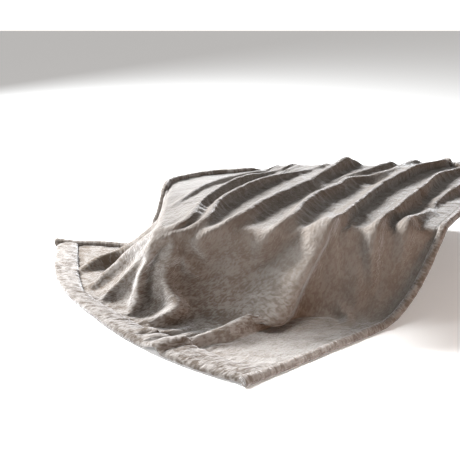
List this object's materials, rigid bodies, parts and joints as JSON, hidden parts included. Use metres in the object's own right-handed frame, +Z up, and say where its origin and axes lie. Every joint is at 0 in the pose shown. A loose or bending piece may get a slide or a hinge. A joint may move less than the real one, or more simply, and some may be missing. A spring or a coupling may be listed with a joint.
{
  "type": "throw blanket",
  "caption": "Plush throw blanket draped askew over a low bed's corner, gathered into pleats on top, its hemmed front end fanned out on the floor.",
  "frame": {"origin": "middle of the base of the whole throw, on the floor it lies on (Z = 0)", "axes": "+X along the front edge of the bed it lies over, to the right seen from the front; +Y towards the bed's back; +Z up"},
  "size_m": [2.1422, 1.6448, 0.372],
  "materials": {
    "plush_cloth": "short dense pile, soft sheen",
    "hem_cloth": "the same pile, turned and pressed",
    "thread": "matt polyester thread",
    "label_tape": "satin woven tape, blank"
  },
  "bodies": {
    "root": {"main_panel": "plush_cloth", "front_hem_band": "hem_cloth", "back_hem_band": "hem_cloth", "near_side_roll": "hem_cloth", "far_side_roll": "hem_cloth", "front_hem_stitching": "thread", "back_hem_stitching": "thread", "near_side_stitching": "thread", "far_side_stitching": "thread", "care_label": "label_tape"}
  },
  "joints": []
}
